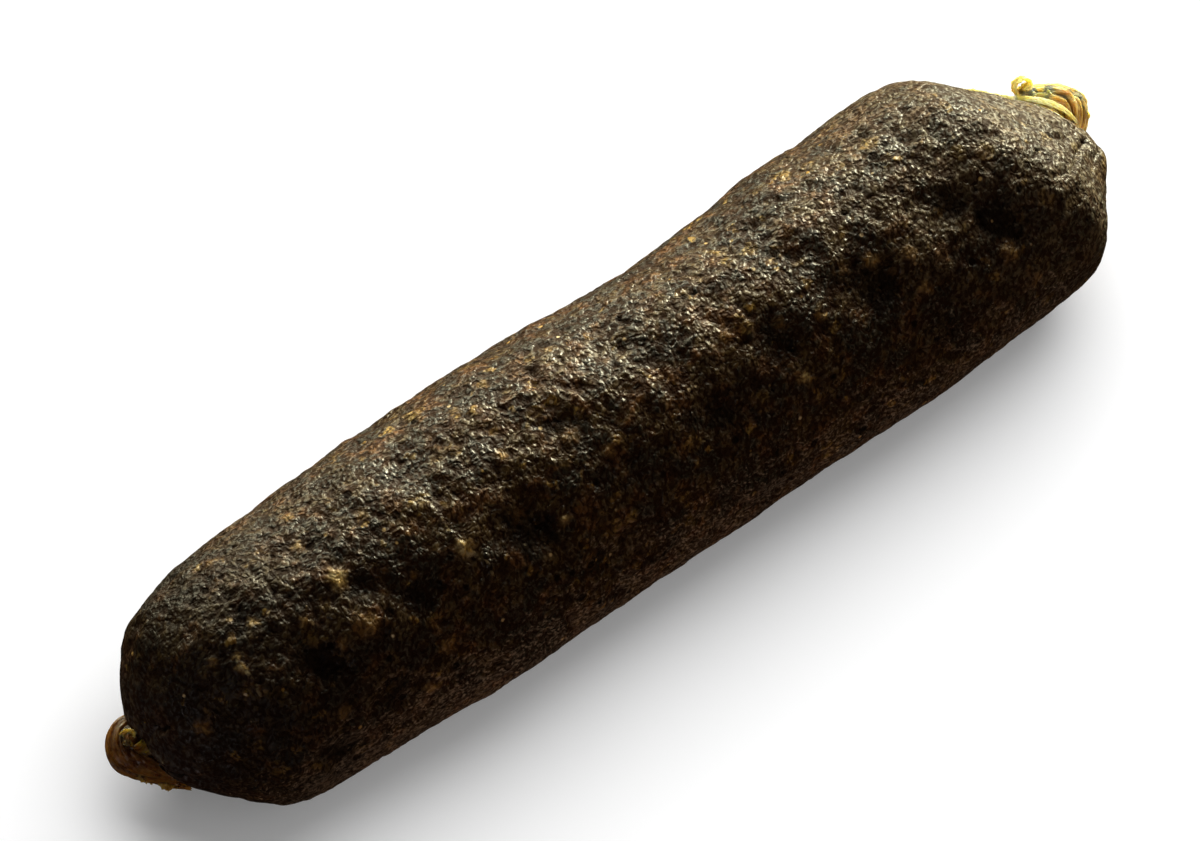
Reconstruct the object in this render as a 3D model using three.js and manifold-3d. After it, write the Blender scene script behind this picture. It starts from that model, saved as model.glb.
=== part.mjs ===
// Cured lamb sausage in a natural casing, lying on its side.
// Millimetres, +Z up. The long axis lies along X; the thicker end with the
// upturned casing end points to +X, and +Y is the side that end leans to.
// It is one piece: the stuffed body and the two gathered casing ends are one
// continuous casing, so the ends are united with the body into one solid.
import * as THREE from 'three';
import { mergeVertices } from 'three/addons/utils/BufferGeometryUtils.js';
import Module from 'manifold-3d';

// ---------------------------------------------------------------- sizes
const RAD = Math.PI / 180;
const MID_HALF = 50;            // the near-cylindrical middle, each way from x = 0
const R_MID = 21.0;             // radius of the middle
const R_GROW = 0.45;            // extra radius at x = +80 (and less at x = -80)
const R_BARREL = -0.85;         // change of radius at both |x| = 80
const WAIST_DEPTH = 1.7;        // shallow hollow in the upper far side
const WAIST_X = 15.5;
const WAIST_HALF = 19.2;
const BEND_GROW = 0.27;         // the axis drifts towards LEAN by this at x = +80
const BEND_BOW = 0.54;          // and bows by this at both |x| = 80
const LEAN = 26.3 * RAD;        // section angle of that side, from +Y towards +Z
const TIE = LEAN - 90 * RAD;    // section angle the tied points are shifted to
const AXIS_Z = 20.3;            // height of the axis, so that a strip rests flat
const ORIGIN_X = 3.548;         // from the middle of the body to the middle of its box
const ORIGIN_Y = 0.339;

// End caps: a meridian runs from the middle to a rounded shoulder, then along a
// cone to a rounded tip, then to the tied point. "lean" is the side at the
// LEAN angle, "under" the opposite one; the rest is blended between them.
const CAP_PLUS = {
  lean: { shoulderX: 66.5, shoulderR: 21.65, tipX: 87.2, tipR: 4.7, round: 0.43 },
  under: { shoulderX: 79.0, shoulderR: 19.6, tipX: 89.5, tipR: 6.5, round: 0.6 },
  poleX: 88.6, tieShift: 4.0,
};
const CAP_MINUS = {
  lean: { shoulderX: -75.9, shoulderR: 16.55, tipX: -81.1, tipR: 6.2, round: 0.98 },
  under: { shoulderX: -69.6, shoulderR: 19.45, tipX: -81.8, tipR: 6.6, round: 0.65 },
  poleX: -80.8, tieShift: 5.0,
};
const TIP_ROUND = 0.9;

// Broad unevenness of the stuffing: depth, waves along 100 mm, waves around, phase.
const LUMPS = [
  [0.09, 2.3, 2, 0.4],
  [0.07, 3.7, -3, 2.1],
  [0.055, 5.2, 4, 4.0],
  [0.04, 6.9, -5, 5.3],
];
const FOLDS = 10;               // radial folds where the casing runs to a tie
const FOLD_DEPTH = 0.07;        // as a share of the local radius

// Gathered casing ends: spine points [x, y, z from the axis, half width, half
// thickness]. Both come out of the tied point, swell into a fold and lie back
// along the cap.
const END_PLUS = {
  spine: [
    [85.0, 1.9, -3.4, 2.0, 2.0],
    [89.3, 2.6, -2.8, 2.0, 2.0],
    [90.95, 4.8, -1.95, 2.7, 2.5],
    [90.7, 6.65, -1.0, 2.9, 2.6],
    [88.65, 8.0, 0.2, 2.6, 2.3],
    [86.5, 9.1, 1.0, 2.1, 1.8],
    [84.85, 10.1, 1.8, 1.5, 1.3],
  ],
  pleats: 9, depth: 0.13, twist: 0.5,
};
// Casing bunched inside each fold: centre from the axis, radius.
const BUNCHES = [[87.0, 5.0, -1.6, 3.4], [-79.7, 2.1, -7.4, 2.9]];
const END_MINUS = {
  spine: [
    [-77.2, 2.2, -4.6, 2.0, 2.0],
    [-80.0, 2.6, -4.9, 3.0, 2.6],
    [-82.0, 2.75, -5.2, 4.8, 4.2],
    [-81.9, 1.1, -5.8, 4.1, 3.6],
    [-81.1, -0.9, -6.6, 3.5, 2.8],
    [-79.85, -2.65, -7.6, 2.9, 2.2],
    [-78.65, -3.75, -8.2, 2.1, 1.6],
  ],
  pleats: 8, depth: 0.12, twist: -0.6,
};

// mesh density
const AROUND = 64;
const MID_RINGS = 17;
const CAP_RINGS = 14;
const END_AROUND = 36;
const END_STEPS = 20;

// ---------------------------------------------------------------- body
const lerp = (a, b, t) => a + (b - a) * t;
const smooth = (t) => t * t * (3 - 2 * t);

function bodyRadius(x, th) {
  const k = x / 80;
  const side = Math.max(0, Math.cos(th - LEAN));
  const g = Math.exp(-(((x - WAIST_X) / WAIST_HALF) ** 2));
  return R_MID + R_GROW * k + R_BARREL * k * k - WAIST_DEPTH * g * side * side;
}

const axisShift = (x) => BEND_GROW * (x / 80) + BEND_BOW * (x / 80) ** 2;

// Rounded polyline P0-P1-P2-P3 at parameter v in 0..1.
const BREAKS = [0, 0.15, 0.5, 0.6, 0.88, 1];
function meridian(v, P, f1, f2) {
  const len = (a, b) => Math.hypot(b[0] - a[0], b[1] - a[1]);
  const along = (a, b, d) => {
    const l = len(a, b);
    return [lerp(a[0], b[0], d / l), lerp(a[1], b[1], d / l)];
  };
  const mix = (a, b, t) => [lerp(a[0], b[0], t), lerp(a[1], b[1], t)];
  const bez = (a, b, c, t) => mix(mix(a, b, t), mix(b, c, t), t);
  const h1 = f1 * Math.min(len(P[0], P[1]), len(P[1], P[2]) / 2);
  const h2 = f2 * Math.min(len(P[1], P[2]) / 2, len(P[2], P[3]));
  const A1 = along(P[1], P[0], h1), B1 = along(P[1], P[2], h1);
  const A2 = along(P[2], P[1], h2), B2 = along(P[2], P[3], h2);
  let i = 0;
  while (i < 4 && v > BREAKS[i + 1]) i++;
  const q = (v - BREAKS[i]) / (BREAKS[i + 1] - BREAKS[i]);
  if (i === 0) return mix(P[0], A1, q);
  if (i === 1) return bez(A1, P[1], B1, q);
  if (i === 2) return mix(B1, A2, q);
  if (i === 3) return bez(A2, P[2], B2, q);
  return mix(B2, P[3], q);
}

function lump(x, th) {
  let d = 0;
  for (const [a, f, m, ph] of LUMPS) d += a * Math.sin((2 * Math.PI * f * x) / 100 + m * th + ph);
  return d;
}

function place(x, r, th, sx, sy) {
  const o = axisShift(x);
  const y = r * Math.cos(th) + o * Math.cos(LEAN) + sx;
  const z = AXIS_Z + r * Math.sin(th) + o * Math.sin(LEAN) + sy;
  return [x - ORIGIN_X, y - ORIGIN_Y, Math.max(0, z)];
}

function capPoint(cap, sign, v, th) {
  const w = smooth(0.5 + 0.5 * Math.cos(th - LEAN));
  const g = (n) => lerp(cap.under[n], cap.lean[n], w);
  const P = [
    [sign * MID_HALF, bodyRadius(sign * MID_HALF, th)],
    [g('shoulderX'), g('shoulderR')],
    [g('tipX'), g('tipR')],
    [cap.poleX, 0],
  ];
  const [x, r] = meridian(v, P, g('round'), TIP_ROUND);
  const fold = FOLD_DEPTH * smooth(Math.min(1, Math.max(0, (v - 0.45) / 0.4))) * Math.sin(FOLDS * th + sign * 6 * v);
  const rr = r * (1 + fold) + lump(x, th) * Math.min(1, r / 14);
  const s = cap.tieShift * v * v;
  return place(x, rr, th, s * Math.cos(TIE), s * Math.sin(TIE));
}

function midPoint(x, th) {
  return place(x, bodyRadius(x, th) + lump(x, th), th, 0, 0);
}

// A closed loft: rings of equal count between two end points.
function loft(rings, first, last) {
  const n = rings[0].length;
  const pos = [...first];
  for (const ring of rings) for (const p of ring) pos.push(...p);
  pos.push(...last);
  const end = 1 + rings.length * n;
  const idx = [];
  for (let j = 0; j < n; j++) {
    const k = (j + 1) % n;
    idx.push(0, 1 + j, 1 + k);
    for (let i = 0; i + 1 < rings.length; i++) {
      const a = 1 + i * n + j, b = 1 + i * n + k, c = a + n, d = b + n;
      // split each quad along the same diagonal
      idx.push(a, c, b, b, c, d);
    }
    const l = 1 + (rings.length - 1) * n;
    idx.push(l + j, end, l + k);
  }
  const geo = new THREE.BufferGeometry();
  geo.setAttribute('position', new THREE.Float32BufferAttribute(pos, 3));
  geo.setIndex(idx);
  return geo;
}

function signedVolume(geo) {
  const p = geo.getAttribute('position'), ix = geo.getIndex();
  const a = new THREE.Vector3(), b = new THREE.Vector3(), c = new THREE.Vector3();
  let v = 0;
  for (let i = 0; i < ix.count; i += 3) {
    a.fromBufferAttribute(p, ix.getX(i));
    b.fromBufferAttribute(p, ix.getX(i + 1));
    c.fromBufferAttribute(p, ix.getX(i + 2));
    v += a.dot(b.cross(c)) / 6;
  }
  return v;
}

function outward(geo) {
  if (signedVolume(geo) < 0) {
    const ix = geo.getIndex();
    for (let i = 0; i < ix.count; i += 3) {
      const t = ix.getX(i + 1);
      ix.setX(i + 1, ix.getX(i + 2));
      ix.setX(i + 2, t);
    }
  }
  return geo;
}

function bodyGeometry() {
  const th = (j) => (2 * Math.PI * j) / AROUND;
  const rings = [];
  const ring = (f) => rings.push(Array.from({ length: AROUND }, (_, j) => f(th(j))));
  for (let i = CAP_RINGS - 1; i >= 1; i--) ring((t) => capPoint(CAP_MINUS, -1, i / CAP_RINGS, t));
  for (let i = 0; i <= MID_RINGS; i++) ring((t) => midPoint(-MID_HALF + (2 * MID_HALF * i) / MID_RINGS, t));
  for (let i = 1; i < CAP_RINGS; i++) ring((t) => capPoint(CAP_PLUS, 1, i / CAP_RINGS, t));
  return outward(loft(rings, capPoint(CAP_MINUS, -1, 1, 0), capPoint(CAP_PLUS, 1, 1, 0)));
}

// ---------------------------------------------------------------- casing ends
function endGeometry(end) {
  const spine = new THREE.CatmullRomCurve3(
    end.spine.map(([x, y, z]) => new THREE.Vector3(x - ORIGIN_X, y - ORIGIN_Y, AXIS_Z + z)),
    false, 'centripetal');
  const size = new THREE.CatmullRomCurve3(
    end.spine.map(([, , , w, t], i) => new THREE.Vector3(w, t, i)), false, 'catmullrom');
  const across = new THREE.Vector3(0, -Math.sin(LEAN), Math.cos(LEAN));
  const rings = [];
  for (let i = 0; i <= END_STEPS; i++) {
    const u = i / END_STEPS;
    const c = spine.getPoint(u), t = spine.getTangent(u), s = size.getPoint(u);
    const n1 = across.clone().addScaledVector(t, -across.dot(t)).normalize();
    const n2 = new THREE.Vector3().crossVectors(t, n1);
    const deep = end.depth * smooth(Math.min(1, u / 0.35));
    const ragged = 0.08 * smooth(Math.max(0, (u - 0.75) / 0.25));
    rings.push(Array.from({ length: END_AROUND }, (_, j) => {
      const ph = (2 * Math.PI * j) / END_AROUND;
      const k = 1 + deep * Math.cos(end.pleats * ph + end.twist * 6 * u) + ragged * Math.sin(5 * ph + 1.3);
      return c.clone()
        .addScaledVector(n1, s.x * k * Math.cos(ph))
        .addScaledVector(n2, s.y * k * Math.sin(ph))
        .toArray();
    }));
  }
  const mid = (ring, toward, d) => {
    const m = new THREE.Vector3();
    for (const p of ring) m.add(new THREE.Vector3(...p));
    m.divideScalar(ring.length);
    return m.addScaledVector(toward, d).toArray();
  };
  const last = rings[rings.length - 1];
  return outward(loft(rings,
    mid(rings[0], spine.getTangent(0), -0.4),
    mid(last, spine.getTangent(1), 0.5)));
}

// ---------------------------------------------------------------- join
const wasm = await Module();
wasm.setup();

function toSolid(geo) {
  const g = geo.clone();
  for (const name of ['normal', 'uv']) if (g.hasAttribute(name)) g.deleteAttribute(name);
  const m = mergeVertices(g, 1e-5);
  return new wasm.Manifold(new wasm.Mesh({
    numProp: 3,
    vertProperties: new Float32Array(m.getAttribute('position').array),
    triVerts: new Uint32Array(m.getIndex().array),
  }));
}

// Back to a BufferGeometry. Where two surfaces cross, some edges come out far
// shorter than WELD: their end points are made one.
const WELD = 0.03;
function toGeometry(solid) {
  const mesh = solid.getMesh();
  const at = (i) => [0, 1, 2].map((k) => mesh.vertProperties[i * mesh.numProp + k]);
  const root = Array.from({ length: mesh.numVert }, (_, i) => i);
  const find = (i) => { while (root[i] !== i) i = root[i]; return i; };
  const tri = mesh.triVerts;
  for (let i = 0; i < tri.length; i += 3) {
    for (let k = 0; k < 3; k++) {
      const a = find(tri[i + k]), b = find(tri[i + ((k + 1) % 3)]);
      const p = at(a), q = at(b);
      if (a !== b && Math.hypot(p[0] - q[0], p[1] - q[1], p[2] - q[2]) < WELD) root[Math.max(a, b)] = Math.min(a, b);
    }
  }
  const used = new Map(), pos = [], idx = [];
  const use = (i) => {
    if (!used.has(i)) { used.set(i, used.size); pos.push(...at(i)); }
    return used.get(i);
  };
  for (let i = 0; i < tri.length; i += 3) {
    const [a, b, c] = [find(tri[i]), find(tri[i + 1]), find(tri[i + 2])];
    if (a !== b && b !== c && c !== a) idx.push(use(a), use(b), use(c));
  }
  const geo = new THREE.BufferGeometry();
  geo.setAttribute('position', new THREE.Float32BufferAttribute(pos, 3));
  geo.setIndex(idx);
  geo.computeVertexNormals();
  return geo;
}

let joined = toSolid(bodyGeometry())
  .add(toSolid(endGeometry(END_PLUS)))
  .add(toSolid(endGeometry(END_MINUS)));
for (const [x, y, z, r] of BUNCHES) {
  joined = joined.add(toSolid(new THREE.SphereGeometry(r, 16, 12)
    .translate(x - ORIGIN_X, y - ORIGIN_Y, AXIS_Z + z)));
}

const casing = new THREE.MeshStandardMaterial({ color: 0x2e1d12, roughness: 0.45, metalness: 0 });
const sausage = new THREE.Mesh(toGeometry(joined), casing);
sausage.name = 'sausage';

const group = new THREE.Group();
group.name = 'lamb_sausage';
group.add(sausage);

export default group;
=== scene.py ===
import math

import bpy
import numpy as np
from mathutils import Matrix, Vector


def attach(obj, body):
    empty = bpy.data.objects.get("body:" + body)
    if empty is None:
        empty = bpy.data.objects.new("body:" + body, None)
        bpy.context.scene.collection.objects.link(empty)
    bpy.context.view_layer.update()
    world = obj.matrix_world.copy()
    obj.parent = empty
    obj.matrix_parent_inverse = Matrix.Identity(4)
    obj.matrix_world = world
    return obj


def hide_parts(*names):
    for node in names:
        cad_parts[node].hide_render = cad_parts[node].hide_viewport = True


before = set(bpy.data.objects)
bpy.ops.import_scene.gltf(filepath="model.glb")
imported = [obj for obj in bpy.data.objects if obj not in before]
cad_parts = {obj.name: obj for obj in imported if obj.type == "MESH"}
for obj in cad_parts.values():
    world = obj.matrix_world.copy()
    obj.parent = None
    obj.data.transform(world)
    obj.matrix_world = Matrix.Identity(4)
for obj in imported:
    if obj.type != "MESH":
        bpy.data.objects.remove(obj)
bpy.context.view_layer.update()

MM = 0.001

# ------------------------------------------------------------------ sizes
# The solid's own sizes, in millimetres: the body runs along x, y points to the
# far side and z up, and z = 0 is the axis until place() lifts it.
MID_HALF = 50.0
R_MID, R_GROW, R_BARREL = 21.0, 0.45, -0.85
WAIST_DEPTH, WAIST_X, WAIST_HALF = 1.7, 15.5, 19.2
BEND_GROW, BEND_BOW = 0.27, 0.54
LEAN = math.radians(26.3)
TIE = LEAN - math.pi / 2
AXIS_Z = 20.3
ORIGIN = np.array([3.548, 0.339, 0.0])
CAP_PLUS = {
    "lean": {"shoulderX": 66.5, "shoulderR": 21.65, "tipX": 87.2, "tipR": 4.7, "round": 0.43},
    "under": {"shoulderX": 79.0, "shoulderR": 19.6, "tipX": 89.5, "tipR": 6.5, "round": 0.6},
    "poleX": 88.6, "tieShift": 4.0,
}
CAP_MINUS = {
    "lean": {"shoulderX": -75.9, "shoulderR": 16.55, "tipX": -81.1, "tipR": 6.2, "round": 0.98},
    "under": {"shoulderX": -69.6, "shoulderR": 19.45, "tipX": -81.8, "tipR": 6.6, "round": 0.65},
    "poleX": -80.8, "tieShift": 5.0,
}
TIP_ROUND = 0.9
LUMPS = [(0.09, 2.3, 2, 0.4), (0.07, 3.7, -3, 2.1), (0.055, 5.2, 4, 4.0), (0.04, 6.9, -5, 5.3)]
BREAKS = [0, 0.15, 0.5, 0.6, 0.88, 1]

# The wrinkles of the casing lie across the sausage, a little slanted: they are
# level lines of x + SLANT * (height along LEAN).
SLANT = 0.42
UP = np.array([0.0, math.cos(LEAN), math.sin(LEAN)])

AROUND = 250          # points round the body
MID_RINGS = 196       # rings over the middle
CAP_RINGS = 98        # rings over each cap


# ------------------------------------------------------------------ noise
def _lattice(ix, iy, iz, seed):
    h = (ix * 374761393 + iy * 668265263 + iz * 1442695041 + seed * 1013904223) & 0xFFFFFFFF
    h = ((h ^ (h >> 13)) * 1274126177) & 0xFFFFFFFF
    h = ((h ^ (h >> 15)) * 2246822519) & 0xFFFFFFFF
    return h ^ (h >> 16)


def noise(p, seed):
    """Gradient noise at points p (n, 3), one cell per unit, about -1 to 1."""
    i = np.floor(p).astype(np.int64)
    f = p - i
    u = f * f * f * (f * (f * 6 - 15) + 10)
    total = np.zeros(len(p))
    for dx in (0, 1):
        wx = u[:, 0] if dx else 1 - u[:, 0]
        for dy in (0, 1):
            wy = u[:, 1] if dy else 1 - u[:, 1]
            for dz in (0, 1):
                wz = u[:, 2] if dz else 1 - u[:, 2]
                h = _lattice(i[:, 0] + dx, i[:, 1] + dy, i[:, 2] + dz, seed)
                a = (h & 0xFFFF) * (2 * math.pi / 65536)
                c = ((h >> 16) & 0xFFFF) * (2 / 65535) - 1
                s = np.sqrt(np.maximum(0, 1 - c * c))
                g = (
                    (f[:, 0] - dx) * s * np.cos(a)
                    + (f[:, 1] - dy) * s * np.sin(a)
                    + (f[:, 2] - dz) * c
                )
                total += wx * wy * wz * g
    return total * 1.6


def fbm(p, seed, octaves=3, gain=0.5):
    out, amp = np.zeros(len(p)), 1.0
    for k in range(octaves):
        out += amp * noise(p * 2**k + 17.3 * k, seed + k)
        amp *= gain
    return out


def smooth(t):
    t = np.clip(t, 0, 1)
    return t * t * (3 - 2 * t)


# ------------------------------------------------------------------ the body's base form
def body_radius(x, th):
    k = x / 80
    side = np.maximum(0, np.cos(th - LEAN))
    g = np.exp(-(((x - WAIST_X) / WAIST_HALF) ** 2))
    return R_MID + R_GROW * k + R_BARREL * k * k - WAIST_DEPTH * g * side * side


# The outline's small departures from the outlines above: x and mm outwards, on the side
# towards LEAN and on the side away from it.
LEAN_SIDE = ([-81, -78, -75, -72, -69, -66, -63, -60, -57, -53.6, -50.5, -47.5, -44, -38, -32, -26, -20, -11, -5, 3, 17, 20, 26, 33, 38, 44, 50, 56, 64, 68, 72, 75, 78, 81],
             [0.8, -0.35, -0.25, -0.3, 0.1, 0.6, 0.62, 0.4, 0.15, -0.4, -0.85, -0.55, -0.2, 0.15, 0.38, 0.3, 0.15, 0.42, 0.42, 0.1, 0.35, 0.38, 0.15, 0.2, 0.42, 0.42, 0.2, 0.3, 0.3, 0.75, 0.65, 0.3, 0.4, 0.1])
FAR_SIDE = ([-72, -69, -66, -60, -54, -50, -45, -41, -36, -32, -29, -24, -20, -14, -8, -3, 6, 12, 18, 25, 31, 54, 62, 68, 72, 75, 78, 82],
            [-0.2, 0.35, 0.4, 0.1, -0.15, -0.4, -0.25, -0.35, 0.3, 0.6, 0.6, 0.35, 0.1, -0.35, -0.4, -0.25, -0.45, -0.2, -0.45, -0.35, -0.1, 0.2, 0.1, 0.3, 0.35, 0.2, 0.3, -0.3])


def lump(x, th):
    return sum(a * np.sin(2 * math.pi * f * x / 100 + m * th + ph) for a, f, m, ph in LUMPS)


def meridians(cap, sign, th, dense=400):
    """The cap's outline at each angle th: x, r and the parameter v, each (dense, len(th))."""
    w = smooth(0.5 + 0.5 * np.cos(th - LEAN))
    g = lambda n: cap["under"][n] + (cap["lean"][n] - cap["under"][n]) * w
    P0 = np.stack([np.full_like(th, sign * MID_HALF), body_radius(sign * MID_HALF, th)])
    P1 = np.stack([g("shoulderX"), g("shoulderR")])
    P2 = np.stack([g("tipX"), g("tipR")])
    P3 = np.stack([np.full_like(th, cap["poleX"]), np.zeros_like(th)])
    ln = lambda a, b: np.hypot(b[0] - a[0], b[1] - a[1])
    h1 = g("round") * np.minimum(ln(P0, P1), ln(P1, P2) / 2)
    h2 = TIP_ROUND * np.minimum(ln(P1, P2) / 2, ln(P2, P3))
    A1 = P1 + (P0 - P1) * (h1 / ln(P0, P1))
    B1 = P1 + (P2 - P1) * (h1 / ln(P1, P2))
    A2 = P2 + (P1 - P2) * (h2 / ln(P1, P2))
    B2 = P2 + (P3 - P2) * (h2 / ln(P2, P3))
    line = lambda a, b, q: a[:, None] + (b - a)[:, None] * q[None, :, None]
    bez = lambda a, b, c, q: (
        (1 - q[None, :, None]) ** 2 * a[:, None]
        + 2 * (q * (1 - q))[None, :, None] * b[:, None]
        + (q * q)[None, :, None] * c[:, None]
    )
    v = np.linspace(0, 1, dense)
    out = np.zeros((2, dense, len(th)))
    for i in range(5):
        lo, hi = BREAKS[i], BREAKS[i + 1]
        m = (v >= lo) & (v <= hi)
        q = (v[m] - lo) / (hi - lo)
        out[:, m] = [
            lambda: line(P0, A1, q), lambda: bez(A1, P1, B1, q), lambda: line(B1, A2, q),
            lambda: bez(A2, P2, B2, q), lambda: line(B2, P3, q),
        ][i]()
    return out[0], out[1], v


def cap_rings(cap, sign, th, count, last=0.985):
    """count rings from the middle's edge (left out) towards the tied point, evenly spaced along each outline."""
    X, R, v = meridians(cap, sign, th)
    step = np.hypot(np.diff(X, axis=0), np.diff(R, axis=0))
    s = np.concatenate([np.zeros((1, len(th))), np.cumsum(step, 0)])
    s /= s[-1]
    want = np.linspace(0, last, count + 1)[1:]
    x, r, vv = (np.zeros((count, len(th))) for _ in range(3))
    for j in range(len(th)):
        x[:, j] = np.interp(want, s[:, j], X[:, j])
        r[:, j] = np.interp(want, s[:, j], R[:, j])
        vv[:, j] = np.interp(want, s[:, j], v)
    return x, r, vv


def base_point(x, r, th, v, cap):
    """Body frame position: the ring's centre follows the bend, and the tied point's shift over a cap."""
    bend = BEND_GROW * (x / 80) + BEND_BOW * (x / 80) ** 2
    shift = cap["tieShift"] * v * v if cap else 0
    rr = r + lump(x, th) * np.minimum(1, r / 14)
    rr = rr + np.interp(x, *LEAN_SIDE) * smooth(np.cos(th - LEAN)) + np.interp(x, *FAR_SIDE) * smooth(-np.cos(th - LEAN))
    y = rr * np.cos(th) + bend * math.cos(LEAN) + shift * math.cos(TIE)
    z = rr * np.sin(th) + bend * math.sin(LEAN) + shift * math.sin(TIE)
    return np.stack([x + 0 * y, y, z], -1)


def normals_of(P):
    """Outward normals of a grid of points (rings, around, 3)."""
    du = np.gradient(P, axis=0)
    dv = np.roll(P, -1, 1) - np.roll(P, 1, 1)
    n = np.cross(dv, du)
    n /= np.maximum(np.linalg.norm(n, axis=-1, keepdims=True), 1e-9)
    c = P - P.mean(1, keepdims=True)
    return n * np.sign((n * c).sum(-1).mean() or 1)


def on_skin(x, deg):
    """A point of the body's skin at x and angle deg from LEAN towards the top and the front, for placing features."""
    th = LEAN + math.radians(deg)
    r = float(body_radius(np.array(x), np.array(th)))
    bend = BEND_GROW * (x / 80) + BEND_BOW * (x / 80) ** 2
    return np.array([x, r * math.cos(th) + bend * math.cos(LEAN), r * math.sin(th) + bend * math.sin(LEAN)])


# The directions of the picture: right, up and towards the viewer.  Small things are
# placed by where they are seen: mm right and mm up from the middle of the body.
VIEW_EL = math.radians(58.0)
VIEW_AZ = math.atan(-0.654 / math.sin(VIEW_EL))
BACK = np.array([math.sin(VIEW_AZ) * math.cos(VIEW_EL), -math.cos(VIEW_AZ) * math.cos(VIEW_EL), math.sin(VIEW_EL)])
RIGHT = np.array([math.cos(VIEW_AZ), math.sin(VIEW_AZ), 0.0])
OVER = np.cross(BACK, RIGHT)


VIEW_DISTANCE = 1000.0
OFF = (1.42, -3.07)        # the middle of the body lies this far from the middle of the view


def seen(a, b, depth):
    """The point that shows a mm right of and b mm above the middle of the body, depth mm nearer than it."""
    a, b, depth = (np.asarray(v, float)[..., None] for v in (a, b, depth))
    k = 1 - depth / VIEW_DISTANCE
    return RIGHT * ((a + OFF[0]) * k - OFF[0]) + OVER * ((b + OFF[1]) * k - OFF[1]) + BACK * depth


def shown(P):
    """Where points P show: mm right of and mm above the middle of the body."""
    k = 1 - P @ BACK / VIEW_DISTANCE
    return (P @ RIGHT + OFF[0]) / k - OFF[0], (P @ OVER + OFF[1]) / k - OFF[1]


def direction(a, b, depth):
    return RIGHT * a + OVER * b + BACK * depth


def skin_under(P, N, a, b):
    """The point of the body's points P (with normals N) that shows at (a, b), and its normal."""
    u, v = shown(P)
    d = np.hypot(u - a, v - b) + 1e3 * (N @ BACK < -0.05)
    near = np.argsort(d)[:12]
    best = near[np.argmax(P[near] @ BACK)]
    return P[best], N[best]


# ------------------------------------------------------------------ relief of the skin
# Dents: x, angle from LEAN in degrees, half length along x, half width, depth.
DENTS = [
    (-77.0, 88, 4.5, 3.0, 0.9), (-60.0, 99, 3.2, 4.5, 0.7), (-50.0, 82, 3.5, 3.0, 0.55),
    (-42.5, 100, 4.0, 3.2, 0.6), (-24.0, 100, 4.5, 5.0, 0.9), (-10.5, 77, 3.2, 3.6, 0.7),
    (9.5, 105, 4.0, 4.0, 0.6), (23.0, 95, 3.2, 4.0, 0.6), (39.5, 95, 4.5, 4.5, 0.75),
    (56.5, 85, 4.2, 3.6, 0.75), (62.0, 105, 4.5, 4.0, 0.8), (-66.0, 62, 3.0, 3.5, 0.45),
    (2.0, 58, 3.5, 3.0, 0.35), (30.0, 60, 3.0, 4.0, 0.4), (-34.0, 55, 4.0, 3.0, 0.35),
    (47.0, 128, 5.0, 4.0, 0.5), (-15.0, 132, 5.0, 3.5, 0.5), (-52.0, 130, 4.5, 4.0, 0.5),
]
# Lines on the skin, as seen: points (right, up), half width, height (below 0 is a groove),
# how strong a pale golden painted highlight (above 0) or a painted shade (below 0) they carry.
LINES = [
    # raised creases of dried skin, with a painted highlight along them
    ([(-54.6, -31.4), (-53.6, -33.3), (-51.6, -35.2), (-50.6, -37.3)], 0.28, 0.40, 1.0),
    ([(-50.6, -37.3), (-48.0, -38.6), (-44.6, -39.2)], 0.36, 0.36, 0.35),
    ([(-24.2, -9.8), (-23.3, -11.4), (-22.9, -12.4), (-21.7, -14.0)], 0.25, 0.35, 0.8),
    ([(-21.7, -14.0), (-20.3, -15.4), (-18.8, -16.3)], 0.42, 0.42, 1.0),
    ([(-18.8, -16.3), (-17.1, -17.7), (-15.9, -18.9)], 0.3, 0.40, 0.8),
    ([(13.2, -3.2), (13.9, -2.1), (13.7, -0.9), (14.6, -0.3)], 0.22, 0.30, 0.7),
    # near the right tie: the crease below the notch (painted shade) with its pale lip (painted highlight), and folds
    # above it (painted shade)
    ([(69.1, 43.5), (68.2, 41.9), (67.7, 40.2), (66.5, 39.0), (65.0, 38.3)], 0.34, -0.65, -0.5),
    ([(69.6, 42.9), (68.9, 41.4), (68.5, 39.9), (67.7, 38.4)], 0.30, 0.14, 0.16),
    ([(68.6, 46.0), (66.4, 46.2), (63.9, 46.6), (61.6, 47.4)], 0.35, -0.38, -0.3),
    ([(67.8, 44.8), (65.6, 44.5), (63.2, 44.8)], 0.45, -0.30, -0.2),
    ([(71.2, 42.3), (70.6, 40.0), (70.4, 37.6)], 0.4, -0.28, -0.2),
    # near the left tie: a short slit, and the double lip round the root of the bundle: painted shade in the slit and
    # the groove, a faint painted highlight on the lip
    ([(-66.3, -41.2), (-65.2, -41.7), (-64.0, -42.0)], 0.34, -0.90, -1.0),
    ([(-67.6, -44.0), (-66.2, -46.2), (-64.2, -47.7), (-61.8, -48.6), (-58.8, -49.8), (-55.5, -50.9)], 0.40, -0.85, -0.9),
    ([(-66.4, -44.6), (-64.8, -46.2), (-62.6, -47.2), (-59.6, -48.2)], 0.50, 0.45, 0.15),
]
# Swellings, as seen: (right, up), radius, height.
SWELLS = [
    (-68.0, -42.6, 3.4, 1.5), (-66.4, -45.6, 2.6, 0.8), (-63.2, -47.8, 2.6, 0.5), (70.8, 42.0, 2.2, 0.75), (71.6, 39.6, 2.2, 0.45),
    (69.2, 43.4, 0.9, -0.55), (68.6, 45.2, 1.6, 0.3),
]
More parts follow.
